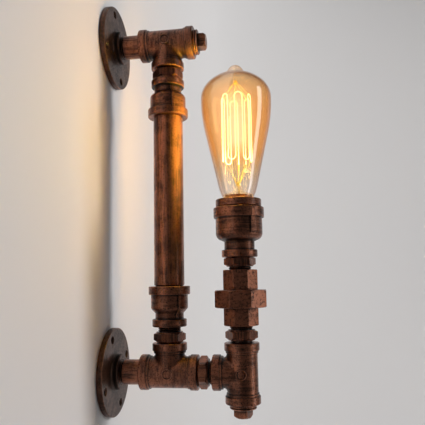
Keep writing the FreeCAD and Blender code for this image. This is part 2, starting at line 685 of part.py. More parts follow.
# Plugs: square heads on a grooved collar, closing the tees' open ports
def plug(label, at, rotation, spin):
    part = body(label, at, rotation)
    turns = whole_turns(size("plug_grip"), size("thread_pitch"))
    start = "(0 - %d*thread_pitch)" % turns
    rows = [("0", "-plug_grip"), ("half_thread_r - thread_depth", "-plug_grip")]
    rows += thread(start, "thread_pitch", "half_thread_r", "thread_depth", turns)
    rows += [("plug_collar_r - plug_groove", "0"), ("plug_collar_r - plug_groove", "0.16*plug_collar"),
             ("plug_collar_r", "0.3*plug_collar"), ("plug_collar_r", "0.46*plug_collar"),
             ("plug_collar_r - plug_groove", "0.6*plug_collar"),
             ("plug_collar_r", "0.74*plug_collar"), ("plug_collar_r", "0.86*plug_collar"),
             ("plug_collar_r - plug_groove", "plug_collar"), ("0", "plug_collar")]
    turned(part, rows)
    prism(part, 4, "plug_square", "0.9*plug_collar", "plug_collar + plug_head", spin)
    top = "(plug_collar + plug_head)"
    inner = "plug_square/2"
    outer = "plug_square*0.72"
    cut_away(part, [(inner, top), (outer, top), (outer, "%s - plug_chamfer*1.8" % top)])


plug("upper_plug", ("0", "-(column_reach + tee_reach)", "run_rise"), OUTWARDS, "upper_plug_turn")
plug("front_plug", on_front("-tee_reach"), DOWNWARDS, "front_plug_turn")


# Hexagon nipples: male both ends, with a hexagon nearer to one fitting
def hex_nipple(label, at, gap, hexagon_up, spin, rotation=None, top_cone="hex_cone"):
    part = body(label, at, rotation)
    pitch = size("thread_pitch")
    low_turns = whole_turns(size("half_grip") + size(hexagon_up) - size("hex_cone"), pitch)
    top_length = size(gap) - size(hexagon_up) - size("hex_high") - size("hex_cone")
    top_turns = whole_turns(size("half_grip") + top_length, pitch)
    top = "(%s + half_grip)" % gap
    hexagon_top = "(%s + hex_high)" % hexagon_up
    root = "half_thread_r - thread_depth"
    rows = [("0", "-half_grip")]
    rows += thread("(0 - half_grip)", "thread_pitch", "half_thread_r", "thread_depth", low_turns)
    rows += [(root, "%s - hex_cone" % hexagon_up), ("hex_cone_r", "%s - hex_cone" % hexagon_up),
             ("hex_flats/2 - hex_inset", hexagon_up), ("hex_flats/2 - hex_inset", hexagon_top),
             ("hex_cone_r", "%s + %s" % (hexagon_top, top_cone)),
             (root, "%s + %s" % (hexagon_top, top_cone))]
    rows += thread("(%s - %d*thread_pitch)" % (top, top_turns), "thread_pitch", "half_thread_r",
                   "thread_depth", top_turns)
    rows += [("0", top)]
    turned(part, rows)
    prism(part, 6, "hex_flats", hexagon_up, hexagon_top, spin)
    turn_down(part, 6, "hex_flats", "hex_bevel", hexagon_up, hexagon_top)
    bore(part, "half_bore_r", "-half_grip", top)


hex_nipple("lower_hex_nipple", ("0", "-column_reach", "tee_reach"), "lower_gap", "lower_hex_up",
           "lower_hex_turn")
hex_nipple("upper_hex_nipple", ("0", "-column_reach", "upper_reducer_up + reducer_high"), "upper_gap",
           "upper_hex_up", "upper_hex_turn")
hex_nipple("arm_hex_nipple", ("0", "-(column_reach + tee_reach)", "0"), "arm_gap", "arm_hex_out",
           "arm_hex_turn", OUTWARDS)
hex_nipple("union_hex_nipple", on_front("tee_reach"), "union_gap", "union_hex_up", "union_hex_turn")
hex_nipple("cup_hex_nipple", on_front("union_up + union_top"), "cup_gap", "cup_hex_up", "cup_hex_turn",
           top_cone="0.25*hex_cone")


# Reducing sockets: the small end takes a hexagon nipple, the big end takes the main pipe
def reducer(label, up, spin, small_end_up):
    def level(text):
        return "(reducer_high - (%s))" % text if small_end_up else "(%s)" % text

    def half_outline(side, proud):
        big_low = "reducer_high - reducer_big_band"
        return [("%s*(reducer_neck_r + %s)" % (side, proud), level("reducer_neck")),
                ("%s*(reducer_body_r + %s)" % (side, proud), level("reducer_neck + reducer_cone")),
                ("%s*(reducer_body_r + %s)" % (side, proud), level(big_low))]

    part = body(label, ("0", "-column_reach", up), spin=spin)
    rows = [("0", level("0")), ("band_r", level("0")), ("band_r", level("reducer_small_band")),
            ("reducer_neck_r", level("reducer_small_band"))]
    rows += half_outline("1", "0")
    rows += [("reducer_band_r", level("reducer_high - reducer_big_band")),
             ("reducer_band_r", level("reducer_high")), ("0", level("reducer_high"))]
    turned(part, rows)
    soften(part, rings(part, size("band_r")) + rings(part, size("reducer_band_r")), "band_round")
    soften(part, rings(part, size("reducer_body_r"), low=0.2 * size("reducer_high"),
                       high=0.8 * size("reducer_high"))[:1], "cone_round")
    ribs = [("reducer_neck_r", level("reducer_small_band - 0.4*rib_wide"))] + half_outline("1", "rib_proud")
    ribs += [("reducer_band_r + 0.3*rib_proud", level("reducer_high - reducer_big_band")),
             ("reducer_band_r + 0.3*rib_proud", level("reducer_high - 1.2*band_round"))]
    other = [("-(%s)" % across, height) for across, height in reversed(ribs)]
    slab(part, ribs + other, "rib_wide")
    bore(part, "half_socket_r", level("0"), level("half_grip + thread_pitch"))
    bore(part, "main_socket_r", level("reducer_high"), level("reducer_high - main_grip - thread_pitch"))
    bore(part, "half_bore_r", level("half_grip"), level("reducer_high - main_grip"))
    mouth = size("reducer_high") if small_end_up else 0.0
    bevel(part, rings(part, size("half_socket_r"), low=mouth - 0.1, high=mouth + 0.1), "mouth_bevel")


reducer("lower_reducer", "lower_reducer_up", "lower_rib_turn", False)
reducer("upper_reducer", "upper_reducer_up", "upper_rib_turn", True)


# Main pipe: the long three quarter inch pipe between the two sockets
main_pipe = body("main_pipe", ("0", "-column_reach", "main_up"))
pipe_turns = whole_turns(size("main_grip") + size("main_runout"), size("thread_pitch"))
top_turns = whole_turns(size("main_grip"), size("thread_pitch"))
pipe_top = "(pipe_shown + main_grip)"
top_start = "(%s - %d*thread_pitch)" % (pipe_top, top_turns)
pipe_rows = [("main_bore_r", "-main_grip")]
pipe_rows += thread("(0 - main_grip)", "thread_pitch", "main_thread_r", "thread_depth", pipe_turns)
pipe_rows += [("main_pipe_r", "%d.4*thread_pitch - main_grip" % pipe_turns),
              ("main_pipe_r", "pipe_shown - 0.3*thread_pitch"),
              ("main_thread_r - thread_depth", "pipe_shown")]
pipe_rows += thread(top_start, "thread_pitch", "main_thread_r", "thread_depth", top_turns)
pipe_rows += [("main_bore_r", pipe_top)]
turned(main_pipe, pipe_rows)


# Union, lower end: an octagon on the nipple and a male thread for the nut
lower_end = body("union_lower_end", on_front("union_up"))
prism(lower_end, 8, "union_flats", "0", "union_low_high", "union_turn")
turn_down(lower_end, 8, "union_flats", "corner_bevel", "0", "union_low_high")
stub_turns = whole_turns(size("stub_top") - size("stub_low"), size("union_pitch"))
stub_rows = [("0", "0.5*union_low_high"), ("union_flats/2 - hex_inset", "0.5*union_low_high"),
             ("union_flats/2 - hex_inset", "stub_low")]
stub_rows += thread("stub_low", "union_pitch", "union_thread_r", "thread_depth", stub_turns)
stub_rows += [("union_thread_r - thread_depth", "stub_top"), ("0", "stub_top")]
turned(lower_end, stub_rows)
bore(lower_end, "half_socket_r", "0", "half_grip + thread_pitch")
bore(lower_end, "half_bore_r", "half_grip", "stub_top")

# Union gasket: a flat ring between the two ends
gasket = body("union_gasket", on_front("union_up + stub_top"))
turned(gasket, [("half_bore_r", "0"), ("collar_r", "0"), ("collar_r", "gasket_high"),
                ("half_bore_r", "gasket_high")])

# Union, upper end: a collar under the nut's lip, a neck and an octagon
upper_end = body("union_upper_end", on_front("split_up"))
turned(upper_end, [("0", "0"), ("collar_r", "0"), ("collar_r", "collar_high"),
                   ("union_neck_r", "collar_high"), ("union_neck_r", "union_octagon_low - collar_low"),
                   ("union_flats/2 - hex_inset", "union_octagon_low - collar_low"),
                   ("union_flats/2 - hex_inset", "union_octagon_low - collar_low + union_top_high/2"),
                   ("0", "union_octagon_low - collar_low + union_top_high/2")])
octagon_low = "(union_octagon_low - collar_low)"
octagon_top = "(union_top - collar_low)"
prism(upper_end, 8, "union_flats", octagon_low, octagon_top, "union_turn")
turn_down(upper_end, 8, "union_flats", "corner_bevel", octagon_low, octagon_top)
bore(upper_end, "half_bore_r", "0", "%s - half_grip" % octagon_top)
bore(upper_end, "half_socket_r", "%s - half_grip - thread_pitch" % octagon_top, octagon_top)

# Union nut: draws the two ends together
nut = body("union_nut", on_front("union_up + nut_up"))
prism(nut, 8, "nut_flats", "0", "nut_high", "nut_turn")
turn_down(nut, 8, "nut_flats", "corner_bevel", "0", "nut_high")
bore(nut, "union_thread_r + fit", "0", "nut_high - nut_lip")
bore(nut, "union_neck_r + lip_clear", "0.5*nut_high", "nut_high")


# Lamp cup: a bigger reducing socket, mouth up, with two casting ribs
def cup_shoulder(side, proud):
    return [("%s*(cup_neck_r + %s)" % (side, proud), "cup_neck"),
            ("%s*(cup_body_r + %s)" % (side, proud), "cup_neck + cup_shoulder"),
            ("%s*(cup_body_r + %s)" % (side, proud), "cup_high - cup_band")]


cup = body("lamp_cup", on_front("cup_up"), spin="cup_rib_turn")
cup_rows = [("0", "0"), ("cup_foot_r", "0"), ("cup_foot_r", "cup_small_band"),
            ("cup_neck_r", "cup_small_band")]
cup_rows += cup_shoulder("1", "0")
cup_rows += [("cup_band_r", "cup_high - cup_band"), ("cup_band_r", "cup_high"), ("0", "cup_high")]
turned(cup, cup_rows)
soften(cup, rings(cup, size("cup_foot_r")) + rings(cup, size("cup_band_r")), "band_round")
soften(cup, rings(cup, size("cup_body_r"), high=0.6 * size("cup_high")), "cup_round")
cup_rib = [("cup_neck_r", "cup_neck")] + cup_shoulder("1", "rib_proud")[1:]
cup_rib[1:1] = [("cup_body_r - 0.5*cup_round", "cup_neck + cup_shoulder - rib_proud")]
cup_rib[2] = ("cup_body_r + rib_proud", "cup_neck + cup_shoulder + 0.7*cup_round")
cup_rib += [("cup_band_r + 0.3*rib_proud", "cup_high - cup_band"),
            ("cup_band_r + 0.3*rib_proud", "cup_high - 1.2*band_round")]
slab(cup, cup_rib + [("-(%s)" % across, height) for across, height in reversed(cup_rib)], "cup_rib_wide")
bore(cup, "half_socket_r", "0", "cup_floor")
cut_away(cup, [("0", "cup_floor - 1"), ("half_socket_r", "cup_floor"),
               ("cup_ledge_r", "cup_floor + cup_fall"), ("cup_ledge_r", "cup_ledge"), ("0", "cup_ledge")])
bore(cup, "cup_bore_r", "cup_ledge", "cup_high - cup_thread")
bore(cup, "cup_thread_r + fit", "cup_high - cup_thread", "cup_high")

# Clamp ring: screws into the cup's mouth and holds the lampholder down on its ledge
ring = body("clamp_ring", on_front("ring_up"))
ring_pitch_turns = whole_turns(size("cup_thread") + size("ring_gap"), size("union_pitch"))
ring_rows = [("0", "-(cup_thread + ring_gap)")]
ring_rows += thread("(0 - cup_thread - ring_gap)", "union_pitch", "cup_thread_r", "0.8*thread_depth",
                    ring_pitch_turns)
ring_rows += [("cup_thread_r - 0.8*thread_depth", "0"), ("ring_r", "0"), ("ring_r", "ring_high"),
              ("0", "ring_high")]
turned(ring, ring_rows)
soften(ring, rings(ring, size("ring_r")), "ring_round")
bore(ring, "ring_bore_r", "-(cup_thread + ring_gap)", "ring_high")

# Seat plate: a steel ring on the cup's ledge, with an inward tab for the earth screw
plate = body("seat_plate", on_front("plate_up"))
turned(plate, [("plate_bore_r", "0"), ("cup_bore_r - 2*fit", "0"), ("cup_bore_r - 2*fit", "plate_high"),
               ("plate_bore_r", "plate_high")])
tab_end = "plate_bore_r - plate_tab_in"
block(plate, [("-plate_tab/2", tab_end), ("plate_tab/2", tab_end), ("plate_tab/2", "plate_bore_r + 1"),
              ("-plate_tab/2", "plate_bore_r + 1")], "0", "plate_high")
drill(plate, "screw_r + fit", [("0", "earth_at")], "0", "plate_high")

# Holder body: a ceramic cup round the screw shell, clamped by its shoulder
holder = body("holder_body", on_front("holder_up"))
turned(holder, [("0", "0"), ("holder_foot_r", "0"), ("holder_foot_r", "clamp_up - holder_up - seat_clear"),
                ("holder_neck_r", "clamp_up - holder_up - seat_clear"),
                ("holder_neck_r", "ring_top - holder_up - holder_top"),
                ("0", "ring_top - holder_up - holder_top")])
bore(holder, "wave_r", "holder_floor", "ring_top - holder_up - holder_top")
drill(holder, "rivet_r + fit", [("rivet_at", "0"), ("-rivet_at", "0")], "0", "holder_floor")

# Screw shell: thin brass with a rolled thread, and a tab under the neutral rivet
shell = body("screw_shell", on_front("floor_up"))
shell_turns = whole_turns(size("shell_high") - 0.4 * size("lamp_pitch"), size("lamp_pitch"))
WAVE = [(0.0, 1.0), (0.17, 0.75), (0.33, 0.25), (0.5, 0.0), (0.67, 0.25), (0.83, 0.75)]


def wave(start, crest, depth, turns):
    """Corners of a rolled lamp thread, crests outwards, from start upwards."""
    rows = []
    for k in range(turns):
        for along, share in WAVE:
            across = "%s - %g*%s" % (crest, 1 - share, depth)
            rows.append((across, "%s + %g*lamp_pitch" % (start, k + along)))
    return rows + [(crest, "%s + %d*lamp_pitch" % (start, turns))]


inner = wave("(0.4*lamp_pitch)", "(shell_crest_r + shell_wave)", "shell_wave", shell_turns)
outer = [("%s + shell_wall" % across, height) for across, height in reversed(inner)]
inner = [("shell_crest_r + shell_wave", "0")] + inner + [("shell_crest_r + shell_wave", "shell_high")]
outer = ([("shell_crest_r + shell_wave + shell_wall", "shell_high")] + outer
         + [("shell_crest_r + shell_wave + shell_wall", "0")])
turned(shell, inner + outer)
block(shell, [("rivet_at - rivet_head_r", "-shell_tab/2"), ("shell_crest_r + shell_wave", "-shell_tab/2"),
              ("shell_crest_r + shell_wave", "shell_tab/2"), ("rivet_at - rivet_head_r", "shell_tab/2")],
      "0", "shell_wall")
drill(shell, "rivet_r + fit", [("rivet_at", "0")], "0", "shell_wall")


# Rivets: join the contact and the shell to the terminals under the floor
def rivet(label, across, head_low):
    part = body(label, (across, FRONT[1], "floor_up"))
    turned(part, [("0", "-(holder_floor + rivet_in)"), ("rivet_r", "-(holder_floor + rivet_in)"),
                  ("rivet_r", head_low), ("rivet_head_r", head_low),
                  ("rivet_head_r", "%s + 0.5*rivet_head" % head_low),
                  ("0.6*rivet_head_r", "%s + rivet_head" % head_low), ("0", "%s + rivet_head" % head_low)])


rivet("contact_rivet", "-rivet_at", "2*blade_clear + blade_thick")
rivet("shell_rivet", "rivet_at", "shell_wall")

# Centre contact: a bronze blade that rocks on a rolled bead under its rivet as the bulb
# presses it down
blade = body("centre_contact", ("-rivet_at", FRONT[1], "floor_up"))
BLADE_LINE = [("-blade_foot", "blade_clear"), ("blade_foot", "blade_clear"),
              ("rivet_at - blade_crown/2", "crown_rise - blade_thick"),
              ("rivet_at + blade_crown/2", "crown_rise - blade_thick"),
              ("rivet_at + blade_crown/2 + 1.2", "crown_rise - blade_thick - 0.7")]
top_line = [(across, "%s + blade_thick" % height) for across, height in reversed(BLADE_LINE)]
slab(blade, BLADE_LINE + top_line, "blade_wide")
roll(blade, "blade_clear + blade_thick/2 - seat_clear", "0", "blade_clear + blade_thick/2", "blade_wide")
bore(blade, "rivet_r + 2*fit", "0", "2*blade_thick + 2*blade_clear")


# Terminals: brass blocks under the floor, each with a wire hole and a side screw
def terminal(label, side):
    part = body(label, ("%s*(rivet_at + wire_at)/2" % side, FRONT[1], "holder_up - terminal_high"))
    block(part, [("-terminal_long/2", "-terminal_wide/2"), ("terminal_long/2", "-terminal_wide/2"),
                 ("terminal_long/2", "terminal_wide/2"), ("-terminal_long/2", "terminal_wide/2")],
          "0", "terminal_high")
    drill(part, "wire_hole_r", [("%s*(wire_at - rivet_at)/2" % side, "0")], "0", "wire_hole")
    drill(part, "rivet_r + fit", [("%s*(rivet_at - wire_at)/2" % side, "0")],
          "terminal_high - rivet_in - fit", "terminal_high")
    before = part.Tip.Shape.Volume
    made = part.newObject("PartDesign::Pocket", "Pocket")
    made.Profile = disc(part, "XZ_Plane", "screw_r + fit", "%s*(wire_at - rivet_at)/2" % side,
                        "wire_hole/2")
    made.Reversed = True
    made.setExpression("Length", formula("terminal_wide"))
    doc.recompute()
    if made.Shape.Volume > before - 1e-3:
        raise RuntimeError("%s: the screw hole took nothing away" % label)


terminal("live_terminal", "-1")
terminal("neutral_terminal", "1")


def slotted_screw(shank):
    """Screw along +Z: shank from 0 down, head above, with a driver slot."""
    solid = Part.makeCylinder(size("screw_r"), shank, Vector(0, 0, -shank))
    head = Part.makeCylinder(size("screw_head_r"), size("screw_head"))
    slot = Part.makeBox(2 * size("screw_head_r"), size("screw_slot"), size("screw_slot_deep"),
                        Vector(-size("screw_head_r"), -size("screw_slot") / 2,
                               size("screw_head") - size("screw_slot_deep")))
    return solid.fuse(head).cut(slot).removeSplitter()


screws = []
for side in (-1, 1):
    screw = slotted_screw(size("terminal_wide") / 2 - size("wire_r") - size("fit"))
    screw.Placement = FreeCAD.Placement(
        Vector(side * size("wire_at"), -size("terminal_wide") / 2, size("wire_hole") / 2),
        Rotation(Vector(1, 0, 0), 90))
    screws.append(screw)
formed("terminal_screws", Part.makeCompound(screws), on_front("holder_up - terminal_high"))

# Earth: an eyelet with a downward barrel, held under the seat plate's tab by a screw
eyelet = body("earth_eyelet", on_front("plate_up"))
block(eyelet, [("-barrel_r", "barrel_at"), ("barrel_r", "barrel_at"), ("barrel_r", "earth_at"),
               ("-barrel_r", "earth_at")], "-eyelet_thick", "0")
peg(eyelet, "eyelet_r", "0", "earth_at", "-eyelet_thick", "0")
peg(eyelet, "barrel_r", "0", "barrel_at", "-barrel_long", "0")
drill(eyelet, "screw_r + fit", [("0", "earth_at")], "-eyelet_thick", "0")
drill(eyelet, "wire_hole_r", [("0", "barrel_at")], "-barrel_long", "-eyelet_thick")

earth_screw = slotted_screw(size("eyelet_thick") + size("plate_high"))
formed("earth_screw", earth_screw, ("0", "earth_at - front_out", "plate_up - eyelet_thick"), DOWNWARDS)


# Cores: from the end of the sleeved cable up to each terminal
def core(label, side_x, side_y, reach, top):
    def spot(off, up):
        return Vector(side_x * off, side_y * off, up)

    rise = top - size("core_up")
    points = [spot(size("core_off"), 0), spot(size("core_off"), 0.26 * rise), spot(reach, 0.64 * rise),
              spot(reach, rise)]
    tube, arcs = tube_path(points, size("wire_r"))
    print("%s: bend radii %s" % (label, ", ".join("%.1f" % bend for bend in arcs)))
    formed(label, tube, on_front("core_up"))


live_top = size("holder_up") - size("terminal_high") + size("wire_hole") - 0.4
core("live_wire", -1, 0, size("wire_at"), live_top)
core("neutral_wire", 1, 0, size("wire_at"), live_top)
core("earth_wire", 0, 1, size("barrel_at"), size("plate_up") - size("eyelet_thick") - 0.4)

# Sleeved cable of the head: straight up through the union and the cup's nipple
head_cable = Part.makeCylinder(size("cable_r"), size("core_up") - size("split_up"))
formed("head_cable", head_cable, on_front("split_up"))

# Sleeved supply cable: in from the wall, along the arm and up the column in one bend
bend = size("cable_bend")
front = -size("front_out")
start = Vector(0, -size("cable_in"), 0)
bend_in = Vector(0, front + bend, 0)
bend_mid = Vector(0, front + bend * (1 - math.sqrt(0.5)), bend * (1 - math.sqrt(0.5)))
bend_out = Vector(0, front, bend)
finish = Vector(0, front, size("split_up") - size("fit"))
cable_edges = [Part.LineSegment(start, bend_in).toShape(), Part.Arc(bend_in, bend_mid, bend_out).toShape(),
               Part.LineSegment(bend_out, finish).toShape()]
supply = sweep(cable_edges, size("cable_r"))
print("supply_cable: bend radius %.1f, length %.1f" % (bend, Part.Wire(cable_edges).Length))
formed("supply_cable", supply, ("0", "0", "0"))

# Inlet bush: rubber, pushed into the lower nipple round the cable's end
bush = body("inlet_bush", ("0", "-cable_in", "0"), OUTWARDS)
turned(bush, [("cable_r + fit", "0"), ("half_bore_r - fit - bush_bevel", "0"),
              ("half_bore_r - fit", "bush_bevel"), ("half_bore_r - fit", "bush_long"),
              ("cable_r + fit", "bush_long")])

# Bulb cap: thin brass, a skirt at the glass and a rolled thread below it
cap = body("bulb_cap", on_front("skirt_up"))
cap_turns = whole_turns(size("cap_high") - size("cap_skirt"), size("lamp_pitch"))
cap_start = "(0 - cap_skirt - %d*lamp_pitch)" % cap_turns
outer = [("cap_r - cap_wave", "-cap_high")] + wave(cap_start, "cap_r", "cap_wave", cap_turns)
outer += [("cap_r", "-0.6*cap_skirt"), ("0.5*(cap_r + cap_skirt_r)", "-0.3*cap_skirt"), ("cap_skirt_r", "0")]
inner = [("cap_skirt_r - cap_wall", "0"), ("cap_r - cap_wave - cap_wall", "-0.5*cap_skirt"),
         ("cap_r - cap_wave - cap_wall", "-cap_high")]
turned(cap, outer + inner)

# Cap insulator: black glass between the cap and its centre contact
insulator = body("cap_insulator", on_front("skirt_up"))
insulator_low = "-(cap_high + insulator_high)"
turned(insulator, [("0", insulator_low), ("button_r + 0.5", insulator_low),
                   ("cap_r - cap_wave - 0.6", "-cap_high"),
                   ("cap_r - cap_wave - cap_wall - fit", "-cap_high"),
                   ("cap_r - cap_wave - cap_wall - fit", "0.5*insulator_high - cap_high"),
                   ("0", "0.5*insulator_high - cap_high")])
button = body("bulb_contact", on_front("button_low"))
turned(button, [("0", "0"), ("0.8*button_r", "0"), ("button_r", "0.3*button_high"),
                ("button_r", "button_high"), ("0", "button_high")])


# Bulb glass: neck, long cone, belly and dome with the sealed tip
def glass_solid(inset, tip):
    """Solid of revolution inside the bulb's outline, inset by a wall."""
    wide = Vector(size("bulb_r") - inset, 0, size("bulb_wide_up"))
    belly = size("bulb_belly_r")
    centre = Vector(wide.x - belly, 0, wide.z)
    foot = Vector(size("bulb_foot_r") - inset, 0, size("bulb_foot_up"))
    to_centre = foot - centre
    away = to_centre.Length
    turn = math.atan2(to_centre.z, to_centre.x) + math.acos(belly / away)
    touch = centre + Vector(math.cos(turn), 0, math.sin(turn)) * belly
    middle = turn / 2
    half_way = centre + Vector(math.cos(middle), 0, math.sin(middle)) * belly
    dome = size("bulb_dome") - inset
    stop = 1.2 * size("pip_r") if tip else 0.3 * wide.x
    last = math.acos(stop / wide.x)
    shares = (0.0, 0.25, 0.5, 0.75, 1.0)
    dome_points = [Vector(wide.x * math.cos(last * share), 0, wide.z + dome * math.sin(last * share))
                   for share in shares]
    along = Vector(-wide.x * math.sin(last), 0, dome * math.cos(last)).normalize()
    curve = Part.BSplineCurve()
    curve.interpolate(dome_points, InitialTangent=Vector(0, 0, 1), FinalTangent=along)
    neck = Vector(size("bulb_neck_r") - inset, 0, 0)
    flare = Part.BSplineCurve()
    flare.interpolate([neck, foot], InitialTangent=Vector(1, 0, 2).normalize(),
                      FinalTangent=(touch - foot).normalize())
    edges = [Part.LineSegment(Vector(), neck).toShape(), flare.toShape(),
             Part.LineSegment(foot, touch).toShape(), Part.Arc(touch, half_way, wide).toShape(),
             curve.toShape()]
    top = dome_points[-1]
    if tip:
        nib = 0.75 * size("pip_r")
        crown = Vector(0, 0, wide.z + dome + size("pip_high"))
        turn = math.radians(42)
        shoulder = Vector(nib * math.sin(turn), 0, crown.z - nib + nib * math.cos(turn))
        along_nib = Vector(-math.cos(turn), 0, math.sin(turn))
        sweep_up = Part.BSplineCurve()
        sweep_up.interpolate([top, shoulder], InitialTangent=along, FinalTangent=along_nib)
        edges.append(sweep_up.toShape())
        top = shoulder
        along = along_nib
    ball = top.x / along.z
    centre = Vector(0, 0, top.z + ball * along.x)
    crown = centre + Vector(0, 0, ball)
    turn = math.atan2(top.x, top.z - centre.z) / 2
    middle = centre + Vector(math.sin(turn), 0, math.cos(turn)) * ball
    edges.append(Part.Arc(top, middle, crown).toShape())
    edges.append(Part.LineSegment(crown, Vector()).toShape())
    return Part.Face(Part.Wire(edges)).revolve(Vector(), Vector(0, 0, 1), 360)


glass = glass_solid(0.0, True).cut(glass_solid(size("bulb_wall"), False))
formed("bulb_glass", glass, on_front("skirt_up"))

# Stem: the glass foot inside the neck, with two lead holes, and the centre rod
FIRST_STRAND = 0.0
strands = int(size("strand_count"))
step = 360.0 / strands
LEAD_ANGLES = (FIRST_STRAND, FIRST_STRAND - step)
stem = body("bulb_stem", on_front("skirt_up"))
turned(stem, [("0", "0.3"), ("stem_flare_r", "0.3"), ("stem_flare_r", "1.1"),
              ("stem_r + 1.6", "0.4*stem_up"), ("stem_r", "0.6*stem_up"), ("stem_r", "0.9*stem_up"),
              ("stem_r - 0.6", "stem_up"), ("rod_r", "stem_up"), ("rod_r", "rod_up"), ("0", "rod_up")])
spots = [("lead_off*cos(%g)" % angle, "lead_off*sin(%g)" % angle) for angle in LEAD_ANGLES]
drill(stem, "lead_r + fit", spots, "0", "stem_up + 1")


def around(radius, degrees, up):
    angle = math.radians(degrees)
    return Vector(radius * math.cos(angle), radius * math.sin(angle), up)


# Filament: one strand up and down round a cage, with a half turn at each end
low = size("cage_low")
high = low + size("cage_high")
bend = size("cage_r") * math.sin(math.radians(step / 2))
apex = size("cage_r") * math.cos(math.radians(step / 2))
edges = []
for i in range(strands):
    angle = FIRST_STRAND + step * i
    upwards = i % 2 == 0
    bottom = around(size("cage_r"), angle, low + bend if 0 < i < strands - 1 else low)
    top = around(size("cage_r"), angle, high - bend)
    ends = (bottom, top) if upwards else (top, bottom)
    edges.append(Part.LineSegment(*ends).toShape())
    if i < strands - 1:
        after = around(size("cage_r"), angle + step, ends[1].z)
        over = around(apex, angle + step / 2, high if upwards else low)
        edges.append(Part.Arc(ends[1], over, after).toShape())
strand_gap = 2 * bend - 2 * size("strand_r")
print("filament: %d strands, %.2f apart, length %.0f" % (strands, strand_gap, Part.Wire(edges).Length))
formed("filament", sweep(edges, size("strand_r")), on_front("skirt_up"))


# Support wires: set in a glass button on the rod, each passing a bend of the filament
def spider(label, button_low, wire_from, bend_up, side, angles):
    made = Part.makeCylinder(size("hook_button_r"), size("hook_button"), Vector(0, 0, button_low))
    rod_hole = size("rod_r") + size("fit")
    made = made.cut(Part.makeCylinder(rod_hole, size("hook_button"), Vector(0, 0, button_low)))
    inside = size("hook_button_r") - 0.4
    slope = math.atan2(abs(bend_up - wire_from), apex - inside)
    clear = (size("strand_r") + size("hook_r") + size("fit")) / math.cos(slope)
    for angle in angles:
        inner_end = around(inside, angle, wire_from)
        under = around(apex, angle, bend_up + side * clear)
        run = under - inner_end
        made = made.fuse(Part.makeCylinder(size("hook_r"), run.Length + size("hook_past"), inner_end, run))
    formed(label, made, on_front("skirt_up"))


top_low = size("rod_up") - size("hook_button")
spider("upper_spider", top_low, top_low + size("hook_button") / 2, high, -1,
       [FIRST_STRAND + step * (i + 0.5) for i in range(0, strands - 1, 2)])
foot_low = size("stem_up") + 0.2
spider("lower_spider", foot_low, foot_low + size("hook_button") / 2, low, 1,
       [FIRST_STRAND + step * (i + 0.5) for i in range(1, strands - 2, 2)])

# Lead-in wires: from the cap through the stem to the two ends of the filament
leads = []
for angle in LEAD_ANGLES:
    points = [around(size("lead_off"), angle, -0.6 * size("cap_high")),
              around(size("lead_off"), angle, size("stem_up") + 2.4),
              around(size("cage_r") - 0.2, angle, low - size("lead_r") - size("fit"))]
    tube, arcs = tube_path(points, size("lead_r"), most=2.0)
    leads.append(tube)
formed("lead_wires", Part.makeCompound(leads), on_front("skirt_up"))

# Checks: every object is up to date, and every part is a valid shape
doc.recompute()
for thing in doc.Objects:
    if {"Invalid", "Error"} & set(thing.State):
        raise RuntimeError("%s is %s" % (thing.Label, thing.State))
for part in PARTS:
    if part.Shape.isNull() or not part.Shape.isValid() or not part.Shape.Solids:
        raise RuntimeError("%s has no valid shape" % part.Label)

os.makedirs("parts", exist_ok=True)
for part in PARTS:
    part.Shape.exportStep("parts/%s.step" % part.Label)
print("%d parts written" % len(PARTS))
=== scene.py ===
import bpy
import math
from mathutils import Matrix, Vector


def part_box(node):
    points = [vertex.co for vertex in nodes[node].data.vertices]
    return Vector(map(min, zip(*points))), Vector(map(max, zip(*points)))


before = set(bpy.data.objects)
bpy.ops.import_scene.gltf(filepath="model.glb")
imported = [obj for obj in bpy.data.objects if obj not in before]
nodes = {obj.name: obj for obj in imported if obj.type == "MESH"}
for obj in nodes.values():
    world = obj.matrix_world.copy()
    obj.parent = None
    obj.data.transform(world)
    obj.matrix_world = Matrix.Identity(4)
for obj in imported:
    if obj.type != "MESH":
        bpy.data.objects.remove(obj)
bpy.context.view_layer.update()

# The room: the light is screwed to a flat wall, painted pale grey with a roller, over a floor in
# the same paint. The wall runs on past the light and curves round behind it, so that it fills
# the photograph's view without an edge.
WALL_COLOUR = (0.80, 0.785, 0.78, 1)
WALL_GAP = 0.0004
FLOOR_Z, CEILING_Z = -0.95, 1.9
WALL_LEFT, WALL_FLAT_TO = -0.45, 0.75
BEND_R, BEND_STEPS = 0.8, 24
ROOM_RIGHT, ROOM_FRONT = WALL_FLAT_TO + BEND_R, -3.0


def surface_object(name, verts, faces):
    """Smooth object from a plain list of points and faces."""
    mesh = bpy.data.meshes.new(name)
    mesh.from_pydata(verts, [], faces)
    mesh.update()
    made = bpy.data.objects.new(name, mesh)
    bpy.context.scene.collection.objects.link(made)
    for polygon in mesh.polygons:
        polygon.use_smooth = True
    return made


class Value:
    """A socket of a finish that can be used in sums."""

    def __init__(self, finish, socket):
        self.finish, self.socket = finish, socket

    def _sum(self, operation, first, second):
        return self.finish.add("ShaderNodeMath", {"operation": operation}, {0: first, 1: second})

    def __add__(self, other):
        return self._sum("ADD", self, other)

    def __radd__(self, other):
        return self._sum("ADD", other, self)

    def __sub__(self, other):
        return self._sum("SUBTRACT", self, other)

    def __rsub__(self, other):
        return self._sum("SUBTRACT", other, self)

    def __mul__(self, other):
        return self._sum("MULTIPLY", self, other)

    def __rmul__(self, other):
        return self._sum("MULTIPLY", other, self)

    def __pow__(self, other):
        return self._sum("POWER", self, other)


